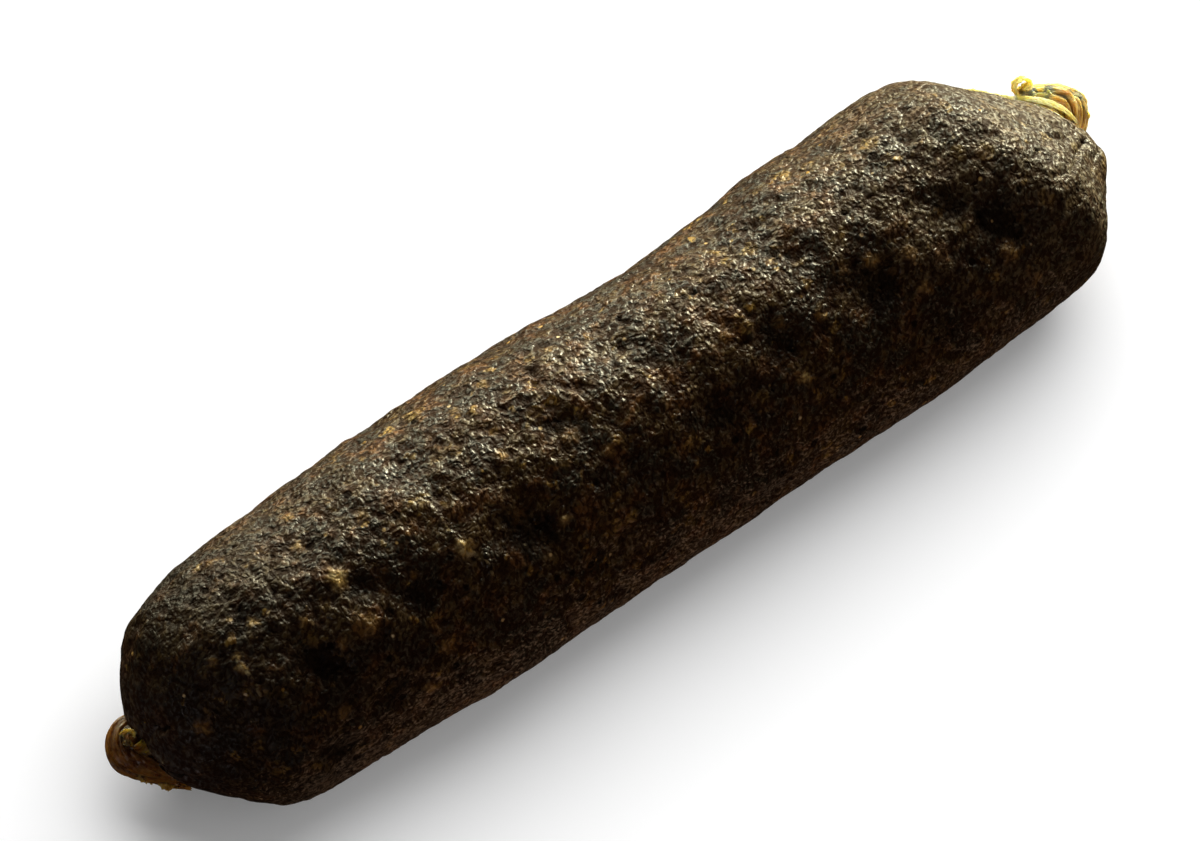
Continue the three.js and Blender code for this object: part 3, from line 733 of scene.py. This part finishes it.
# ------------------------------------------------------------------ build the body
def build_body(mat):
    th = np.arange(AROUND) * (2 * math.pi / AROUND)
    xl, rl, vl = cap_rings(CAP_MINUS, -1, th, CAP_RINGS)
    xr, rr, vr = cap_rings(CAP_PLUS, 1, th, CAP_RINGS)
    xm = np.repeat(np.linspace(-MID_HALF, MID_HALF, MID_RINGS)[:, None], AROUND, 1)
    T = np.repeat(th[None], MID_RINGS, 0)
    TC = np.repeat(th[None], CAP_RINGS, 0)
    left = base_point(xl, rl, TC, vl, CAP_MINUS)[::-1]
    middle = base_point(xm, body_radius(xm, T), T, None, None)
    right = base_point(xr, rr, TC, vr, CAP_PLUS)
    P = np.concatenate([left, middle, right])
    N = normals_of(P)
    flat = P.reshape(-1, 3)
    for u, v, wide, high in SWELLS:
        c = skin_under(flat, N.reshape(-1, 3), u, v)[0]
        P = P + N * (high * np.exp(-((np.linalg.norm(P - c, axis=-1) / wide) ** 2)))[..., None]
    N = normals_of(P)
    pole = lambda cap: np.array([cap["poleX"], cap["tieShift"] * math.cos(TIE), cap["tieShift"] * math.sin(TIE)])
    pl, pr = pole(CAP_MINUS), pole(CAP_PLUS)
    h, masks = skin_relief(P.reshape(-1, 3), N.reshape(-1, 3), pl, pr)
    # the relief fades out where rings close on the tied points
    rho = np.minimum(np.linalg.norm(P - pl, axis=-1), np.linalg.norm(P - pr, axis=-1))
    h = h.reshape(P.shape[:2]) * smooth((rho - 0.6) / 2)
    P = P + N * h[..., None]
    P[..., 2] += AXIS_Z
    P -= ORIGIN
    # the underside is pressed flat on what it lies on
    z = P[..., 2]
    P[..., 2] = np.where(z < 0.6, 0.5 * (z + np.sqrt(z * z + 0.02)), z)
    lift = np.array([0, 0, AXIS_Z]) - ORIGIN
    me = make_mesh("sausage_body", [grid(P, P[0].mean(0), P[-1].mean(0))])
    for name in ("painted_recess_shade", "painted_crease_highlight", "fold", "fat", "pale", "hollow"):
        mask(me, name, np.concatenate([masks[name], [0, 0]]))
    ob = add_object("sausage_body", me, mat)
    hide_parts("sausage")
    return ob


# ------------------------------------------------------------------ casing ends
def catmull(points, u):
    """Points on a smooth curve through points (n, k) at u in 0..1."""
    pts = np.array(points, float)
    n = len(pts) - 1
    pts = np.concatenate([[2 * pts[0] - pts[1]], pts, [2 * pts[-1] - pts[-2]]])
    s = np.clip(np.asarray(u) * n, 0, n - 1e-9)
    i = s.astype(int)
    t = (s - i)[:, None]
    a, b, c, d = pts[i], pts[i + 1], pts[i + 2], pts[i + 3]
    return 0.5 * (2 * b + (c - a) * t + (2 * a - 5 * b + 4 * c - d) * t**2 + (3 * b - a - 3 * c + d) * t**3)


END_PLUS = dict(
    spine=[
        (85.0, 1.9, -3.4, 2.0, 2.0),
        (89.3, 2.6, -2.8, 2.0, 2.0),
        (90.85, 4.6, -1.95, 2.6, 2.5),
        (90.5, 6.5, -1.0, 2.7, 2.6),
        (88.5, 7.9, 0.1, 2.35, 2.3),
        (86.5, 9.0, 0.9, 1.9, 1.8),
        (84.6, 10.0, 1.6, 1.3, 1.3),
    ],
    valleys=24, depth=0.19, narrow=0.075, twist=0.7, crumple=0.12, lobe=0.07, ragged=1.0, seed=61,
)
END_MINUS = dict(
    spine=[
        (-76.6, 2.4, -5.4, 2.0, 2.0),
        (-79.4, 3.4, -6.2, 3.2, 2.8),
        (-81.6, 4.4, -6.9, 4.9, 4.5),
        (-81.4, 2.5, -7.6, 4.2, 3.9),
        (-80.3, 0.2, -8.6, 3.3, 2.8),
        (-79.0, -1.6, -9.6, 2.7, 2.2),
        (-77.8, -2.9, -10.2, 1.9, 1.6),
    ],
    valleys=9, depth=0.10, narrow=0.13, twist=-0.6, crumple=0.11, lobe=0.07, ragged=1.2, seed=75,
)
# Thin sheets of casing: track points (right, up, towards the viewer), the sheet's width across
# the track at both ends and in the middle, the direction it stands in, and its raggedness.
SHEETS_PLUS = [
    # the ribbon's curl at the free end
    dict(track=[(62.2, 49.6, -28.2), (60.6, 49.7, -28.4), (59.2, 50.1, -28.6), (58.6, 51.2, -28.7), (59.1, 52.3, -28.7), (60.0, 52.6, -28.5),
                (60.6, 52.1, -28.3), (60.4, 51.3, -28.1), (59.8, 51.0, -27.9)], wide=(1.4, 2.0, 1.3), stand=(0.35, -0.35, 1.0), thick=0.42, rag=0.3, crimp=0.3),
    dict(track=[(59.0, 50.2, -29.2), (59.6, 50.8, -29.2), (60.2, 51.4, -29.2), (60.9, 51.6, -29.2)], wide=(1.2, 1.5, 1.2), stand=(-0.7, 0.7, 0.2), thick=0.3, rag=0.3, crimp=0.3),
    # the wavy edge over the bundle
    dict(track=[(60.3, 50.4, -29.2), (61.3, 51.3, -29.6), (62.4, 51.0, -30.0), (63.4, 51.7, -30.2), (65.0, 51.5, -30.9),
                (66.7, 51.35, -31.6), (68.2, 50.7, -32.2), (69.1, 49.5, -32.6), (69.2, 48.1, -32.9), (68.7, 46.4, -32.7)],
         wide=(1.4, 2.0, 1.4), stand=(-0.25, -1.0, 0.35), thick=0.24, rag=0.22, crimp=0.25, anchor="edge"),
    # folds over the front of the bundle
    dict(track=[(58.6, 50.2, -27.6), (61.2, 50.0, -27.2), (63.8, 49.5, -27.8), (66.0, 48.4, -29.0), (67.8, 46.6, -30.6)],
         wide=(0.8, 1.1, 0.8), stand=(0.0, -1.0, 0.5), thick=0.22, rag=0.10, crimp=0.10, anchor="edge"),
    dict(track=[(58.2, 49.6, -26.8), (60.8, 49.1, -26.6), (63.2, 48.4, -27.3), (65.4, 47.2, -28.8), (67.2, 45.8, -30.4)],
         wide=(0.7, 1.0, 0.7), stand=(0.0, -1.0, 0.6), thick=0.22, rag=0.10, crimp=0.10, anchor="edge"),
    # the film that is left along the shoulder
    dict(track=[(50.3, 51.15, -24.0), (52.5, 51.15, -24.6), (54.6, 50.75, -25.2), (56.6, 50.35, -25.8), (58.8, 50.1, -26.4)],
         wide=(0.6, 1.3, 1.7), stand=(0.05, -1.0, 0.1), thick=0.12, rag=0.2, crimp=0.08, anchor="edge"),
]
SHEETS_MINUS = [
    # ragged flaps along the lower side of the bundle
    dict(track=[(-68.9, -48.3, 24.0), (-68.0, -49.2, 24.3), (-66.6, -49.4, 24.5), (-65.2, -49.5, 24.6)],
         wide=(0.9, 1.6, 1.0), stand=(0.1, 1.0, 0.2), thick=0.16, rag=0.7, crimp=0.2, anchor="edge", over=True),
    dict(track=[(-66.4, -49.0, 24.7), (-64.9, -50.1, 24.9), (-63.4, -50.5, 24.9), (-61.9, -50.1, 24.8), (-60.9, -49.4, 24.6)],
         wide=(1.0, 1.9, 1.0), stand=(0.0, 1.0, 0.2), thick=0.16, rag=0.7, crimp=0.2, anchor="edge", over=True),
    dict(track=[(-67.4, -48.4, 25.4), (-66.1, -48.9, 25.7), (-64.6, -49.0, 25.8), (-63.2, -49.3, 25.7)],
         wide=(0.7, 1.2, 0.8), stand=(0.1, 1.0, 0.4), thick=0.16, rag=0.6, crimp=0.25, anchor="edge", over=True),
    # pale facets folded over the crown of the bundle
    dict(track=[(-71.2, -42.4, 26.2), (-70.4, -41.7, 26.8), (-69.4, -41.6, 27.2), (-68.6, -42.2, 27.4)],
         wide=(0.8, 1.3, 0.8), stand=(0.1, -1.0, -0.1), thick=0.3, rag=0.15, crimp=0.15, anchor="edge", over=True),
    dict(track=[(-70.9, -43.8, 26.8), (-70.0, -43.1, 27.4), (-69.2, -43.6, 27.7), (-68.8, -44.7, 27.6)],
         wide=(0.7, 1.1, 0.7), stand=(0.3, -1.0, -0.1), thick=0.3, rag=0.15, crimp=0.15, anchor="edge", over=True),
]


def end_surface(e, along=170, around=300):
    """The bundle of gathered casing as rings of points, its middle line, and a painted shade mask: how far down a fold
    each point lies, and the root.
    """
    rng = np.random.default_rng(e["seed"])
    u = np.linspace(0, 1, along)
    K = catmull(e["spine"], u)
    C, size = K[:, :3], K[:, 3:]
    T = np.gradient(C, axis=0)
    T /= np.linalg.norm(T, axis=1, keepdims=True)
    across = np.array([0, -math.sin(LEAN), math.cos(LEAN)])
    n1 = across - T * (T @ across)[:, None]
    n1 /= np.linalg.norm(n1, axis=1, keepdims=True)
    n2 = np.cross(T, n1)
    ph = np.arange(around) * (2 * math.pi / around)
    U, PH = np.meshgrid(u, ph, indexing="ij")
    sd = e["seed"]
    flat = lambda a, b, c, k: noise(np.stack([a.ravel(), b.ravel(), c.ravel()], 1), sd + k).reshape(U.shape)
    c1, s1 = np.cos(PH), np.sin(PH)
    # pleats: valleys of uneven depth and width that wander and fade
    drop = np.zeros(U.shape)
    for k in range(e["valleys"]):
        start = (k + rng.uniform(0.1, 0.9)) * 2 * math.pi / e["valleys"]
        wander = rng.uniform(0.15, 0.45) * np.sin(rng.uniform(1.5, 5) * u + rng.uniform(0, 6)) + 0.08 * np.sin(rng.uniform(9, 15) * u)
        middle = start + e["twist"] * u * 2.2 + wander
        off = np.angle(np.exp(1j * (PH - middle[:, None])))
        wide = e["narrow"] * rng.uniform(0.7, 1.6)
        reach = np.clip(0.75 + 0.9 * np.sin(rng.uniform(2, 6) * u + rng.uniform(0, 6)), 0.1, 1)
        drop = np.maximum(drop, rng.uniform(0.45, 1.0) * reach[:, None] * np.exp(-np.abs(off / wide) ** 1.3))
    drop *= smooth(U / 0.25)
    lobes = e["lobe"] * flat(U * 2.4, c1 * 1.3, s1 * 1.3, 0)
    fold1 = np.abs(flat(U * 5, c1 * 2.4, s1 * 2.4, 1))
    fold2 = np.abs(flat(U * 11, c1 * 5.5, s1 * 5.5, 2))
    fold3 = np.abs(flat(U * 22, c1 * 13, s1 * 13, 3))
    crumple = e["crumple"] * ((0.3 - fold1) + 0.55 * (fold2 - 0.3) - 0.25 * (fold3 - 0.3)) * smooth(U / 0.2)
    rag = flat(U * 0.8, c1 * 5.5, s1 * 5.5, 4) + 0.5 * flat(U * 0.8, c1 * 14, s1 * 14, 5)
    end = smooth((U - 0.84) / 0.16)
    scale = 1 + 0.05 - e["depth"] * drop * 1.6 + lobes + crumple + end * 0.12 * rag
    P = (
        C[:, None]
        + n1[:, None] * (size[:, 0, None] * scale * c1)[..., None]
        + n2[:, None] * (size[:, 1, None] * scale * s1)[..., None]
    )
    # the free edge is uneven along its length
    P += T[:, None] * (end * e["ragged"] * rag)[..., None]
    root = smooth((0.20 - U) / 0.12)
    lie = np.stack([7.5 * c1, 7.5 * s1, 5.0 * U], -1)
    # the last value is painted shade: pleat valleys, creases and the root where the bundle meets the body
    return P, C, T, lie, np.maximum(np.clip(drop * 1.1 - 0.15, 0, 1) + 0.4 * np.clip(fold1 < 0.03, 0, 1), root)


def sheet(d, seed, n=90, m=22):
    """A thin crumpled sheet that follows its track, as one closed piece."""
    rng = np.random.default_rng(seed)
    track = seen(*np.array(d["track"], float).T)
    u = np.linspace(0, 1, n)
    C = catmull(track, u)
    T = np.gradient(C, axis=0)
    T /= np.linalg.norm(T, axis=1, keepdims=True)
    stand = direction(*d["stand"])
    w = stand - T * (T @ stand)[:, None]
    w /= np.linalg.norm(w, axis=1, keepdims=True)
    face = np.cross(T, w)
    wide = np.interp(u, [0, 0.5, 1], d["wide"])
    v = np.linspace(0, 1, m)
    # once round the thin section: out along one side and back along the other
    vv = np.concatenate([v, v[::-1]])
    side = np.concatenate([np.full(m, 0.5), np.full(m, -0.5)])
    thin = d["thick"] * (0.35 + 0.65 * np.sin(np.pi * np.clip(vv, 0.03, 0.97)) ** 0.5)
    U, V = np.meshgrid(u, vv, indexing="ij")
    n3 = lambda fu, fv, k: noise(np.stack([(U * fu).ravel(), (V * fv).ravel(), np.full(U.size, k * 3.7)], 1), seed + k).reshape(U.shape)
    rag = d["rag"] * (n3(9, 0.6, 1) + 0.6 * n3(24, 0.8, 2))
    free = V if d.get("anchor") == "edge" else np.abs(V - 0.5) * 2
    if d.get("anchor") == "edge":
        # the track is the outer edge as seen; the inner edge is hidden in the bundle
        far = V * wide[:, None] + (1 - V) ** 3 * rag * 0.6
    else:
        far = (V - 0.5) * wide[:, None] * (1 + free * rag)
    bulge = d["crimp"] * (1.4 * (0.3 - np.abs(n3(5, 1.5, 3))) + (np.abs(n3(13, 2.5, 4)) - 0.3) + 0.5 * n3(30, 4, 5))
    ends = np.minimum(1, np.minimum(U, 1 - U) * 14 + 0.12)
    P = C[:, None] + w[:, None] * far[..., None] + face[:, None] * (side * thin * ends + bulge * (0.35 + 0.65 * free))[..., None]
    return P, C, np.stack([9.0 * V + 3.1 * (seed % 50), side * 0.5 + 0 * U, 6.0 * U], -1)


def laid(track, P, up=0.15):
    """The track with each point moved along the view onto the front of the surface P."""
    q = P.reshape(-1, 3)
    a, b, c = q @ RIGHT, q @ OVER, q @ BACK
    out = []
    for u, v, _ in track:
        d = np.hypot(a - u, b - v)
        out.append((u, v, float(c[d < max(0.7, d.min() + 0.3)].max()) + up))
    return out


def build_end(name, e, sheets, mat):
    lift = np.array([0, 0, AXIS_Z]) - ORIGIN
    P, C, T, lie, painted_fold_shade = end_surface(e)
    bundle = P
    mouth = P[-1].mean(0) - T[-1] * 1.6      # the end of the bundle is hollow
    parts = [grid(P + lift, C[0] - T[0] * 0.4 + lift, mouth + lift)]
    painted_fold_shades, thins, lays = [painted_fold_shade.ravel(), [1, 1]], [np.zeros(painted_fold_shade.size + 2)], [lie.reshape(-1, 3), np.zeros((2, 3))]
    for k, d in enumerate(sheets):
        if d.get("over"):
            d = dict(d, track=laid(d["track"], bundle))
        P, C, lie = sheet(d, e["seed"] + 10 * k)
        parts.append(grid(P + lift, P[0].mean(0) + lift, P[-1].mean(0) + lift))
        painted_fold_shades.append(np.zeros(len(parts[-1][0])))
        thins.append(np.ones(len(parts[-1][0])))
        lays += [lie.reshape(-1, 3), np.zeros((2, 3))]
    me = make_mesh(name, parts)
    mask(me, "painted_fold_shade", np.concatenate(painted_fold_shades))
    mask(me, "thin", np.concatenate(thins))
    lies(me, "lie", np.concatenate(lays))
    return add_object(name, me, mat)


casing = casing_material()
golden = end_material()
body = build_body(casing)
plus = build_end("casing_end_right", END_PLUS, SHEETS_PLUS, golden)
minus = build_end("casing_end_left", END_MINUS, SHEETS_MINUS, golden)

# ------------------------------------------------------------------ camera
scene = bpy.context.scene
AIM = np.array([0, 0, AXIS_Z]) - ORIGIN            # the middle of the body
DISTANCE, PX_PER_MM, WIDE, HIGH = 1000.0, 6.9, 1200, 841
MIDDLE_PX = (609.8, 441.7)                          # where the middle of the body shows in the frame
place = AIM + BACK * DISTANCE - RIGHT * (MIDDLE_PX[0] - WIDE / 2) / PX_PER_MM + OVER * (MIDDLE_PX[1] - HIGH / 2) / PX_PER_MM
cam = bpy.data.objects.new("camera", bpy.data.cameras.new("camera"))
scene.collection.objects.link(cam)
cam.data.sensor_width = 36.0
cam.data.lens = PX_PER_MM * DISTANCE * 36.0 / WIDE
cam.data.clip_start, cam.data.clip_end = 0.01, 50
cam.location = Vector(place * MM)
cam.rotation_euler = Vector(BACK).to_track_quat("Z", "Y").to_euler()
scene.camera = cam

# ------------------------------------------------------------------ floor and light
floor_mat = Nodes("floor")
fp = floor_mat.node("ShaderNodeBsdfPrincipled")
fp.inputs["Base Color"].default_value = rgb(0.82, 0.82, 0.82)
fp.inputs["Roughness"].default_value = 0.7
fp.inputs["Specular IOR Level"].default_value = 0.2
# painted light: the floor glows by its own emission, which lifts its shadow
fp.inputs["Emission Color"].default_value = rgb(1, 1, 1)
fp.inputs["Emission Strength"].default_value = 0.159
# (painted light: the floor glows by its own emission, weakly near the sausage, which lifts its shadow, and brightens to
# the pale surroundings well outside the frame)
away = floor_mat.node("ShaderNodeVectorMath")
away.operation = "LENGTH"
floor_mat.set(away.inputs[0], floor_mat.node("ShaderNodeTexCoord").outputs["Object"])
floor_mat.set(fp.inputs["Emission Strength"], floor_mat.ramp(away.outputs["Value"], 0.13, 0.62, 0.159, 0.94, True))
floor_mat.set(floor_mat.out.inputs["Surface"], fp.outputs[0])
fm = bpy.data.meshes.new("floor")
S = 6.0
fm.from_pydata([(-S, -S, 0), (S, -S, 0), (S, S, 0), (-S, S, 0)], [], [(0, 1, 2, 3)])
fm.materials.append(floor_mat.mat)
floor = bpy.data.objects.new("floor", fm)
floor.location.z = -0.00002
scene.collection.objects.link(floor)
floor.visible_diffuse = floor.visible_glossy = False


def softbox(name, azimuth, elevation, distance, width, height, power, colour=(1.0, 1.0, 1.0)):
    """A soft light at azimuth (0 is +Y, positive towards +X) and elevation, in degrees, facing the sausage."""
    a, e = math.radians(azimuth), math.radians(elevation)
    d = Vector((math.sin(a) * math.cos(e), math.cos(a) * math.cos(e), math.sin(e)))
    light = bpy.data.lights.new(name, "AREA")
    light.shape = "RECTANGLE" if width != height else "DISK"
    light.size, light.size_y = width, height
    light.energy = power
    light.color = colour
    ob = bpy.data.objects.new(name, light)
    ob.location = d * distance + Vector((0, 0, 0.02))
    ob.rotation_euler = d.to_track_quat("Z", "Y").to_euler()
    ob.visible_camera = False
    scene.collection.objects.link(ob)
    return ob


def only(light, name, *receivers):
    """The light falls on the receivers alone."""
    group = bpy.data.collections.new(name)
    for r in receivers:
        group.objects.link(r)
    light.light_linking.receiver_collection = group


# the low daylight from behind that rakes over the skin, and what little comes from the other sides
WARM, FILL = (1.0, 0.94, 0.66), (1.0, 0.70, 0.40)
for name, azimuth, elevation, size, power, colour in (
    ("window_left", -12, 32, 0.5, 4.8, WARM), ("window", 10, 8, 0.5, 12.5, WARM), ("window_low", 60, 8, 0.5, 29.0, WARM),
    ("window_right", 60, 18, 0.5, 22.5, WARM), ("right_high", 46, 36, 0.5, 7.0, (1.0, 0.94, 0.76)), ("right_low", 76, 4, 0.5, 7.0, WARM),
    ("right", 98, 20, 0.5, 1.6, (1.0, 0.78, 0.54)), ("left", -60, 20, 0.4, 0.8, FILL), ("rim_left", -106, 8, 0.5, 1.4, (1.0, 0.90, 0.90)),
    ("front", 190, 5, 0.36, 1.5, (1.0, 0.68, 0.42)), ("front_right", 128, 12, 0.3, 0.7, FILL),
):
    only(softbox(name, azimuth, elevation, 1.5, size, size, power, colour), name + "_on", body, plus, minus)
# what the pale floor sends back up
bounce = softbox("bounce", 172, -60, 1.5, 0.9, 0.9, 1.8, (1.0, 0.60, 0.36))
only(bounce, "bounce_on", body, plus, minus)
blockers = bpy.data.collections.new("bounce_blockers")
for ob in (body, plus, minus):
    blockers.objects.link(ob)
bounce.light_linking.blocker_collection = blockers
# the right end's thin casing lets the daylight through: it glows more than the skin does
only(softbox("glow", 140, 52, 1.5, 0.5, 0.5, 13.0, (1.0, 0.92, 0.72)), "glow_on", plus)
only(softbox("glow_left", -40, 38, 1.5, 0.5, 0.5, 1.3, (1.0, 0.82, 0.56)), "glow_left_on", minus)
# the floor's own light, from above, which leaves the wide soft shadow
only(softbox("above", 50, 60, 0.9, 1.3, 1.3, 14.1), "above_on", floor)
only(softbox("above_front", 150, 60, 0.9, 1.3, 1.3, 3.3), "above_front_on", floor)

world = bpy.data.worlds.new("studio")
scene.world = world
world.use_nodes = True
wt = world.node_tree
wt.nodes.clear()
wo = wt.nodes.new("ShaderNodeOutputWorld")
bg = wt.nodes.new("ShaderNodeBackground")
bg.inputs["Color"].default_value = (1, 1, 1, 1)
bg.inputs["Strength"].default_value = 0.004
seen_by = wt.nodes.new("ShaderNodeLightPath")
pale = wt.nodes.new("ShaderNodeMapRange")
pale.inputs["To Min"].default_value, pale.inputs["To Max"].default_value = 0.004, 0.94
wt.links.new(seen_by.outputs["Is Camera Ray"], pale.inputs["Value"])
wt.links.new(pale.outputs[0], bg.inputs["Strength"])
wt.links.new(bg.outputs[0], wo.inputs["Surface"])

scene.view_settings.view_transform = "Standard"
scene.view_settings.look = "None"
scene.view_settings.exposure = 0.0
scene.view_settings.gamma = 1.0
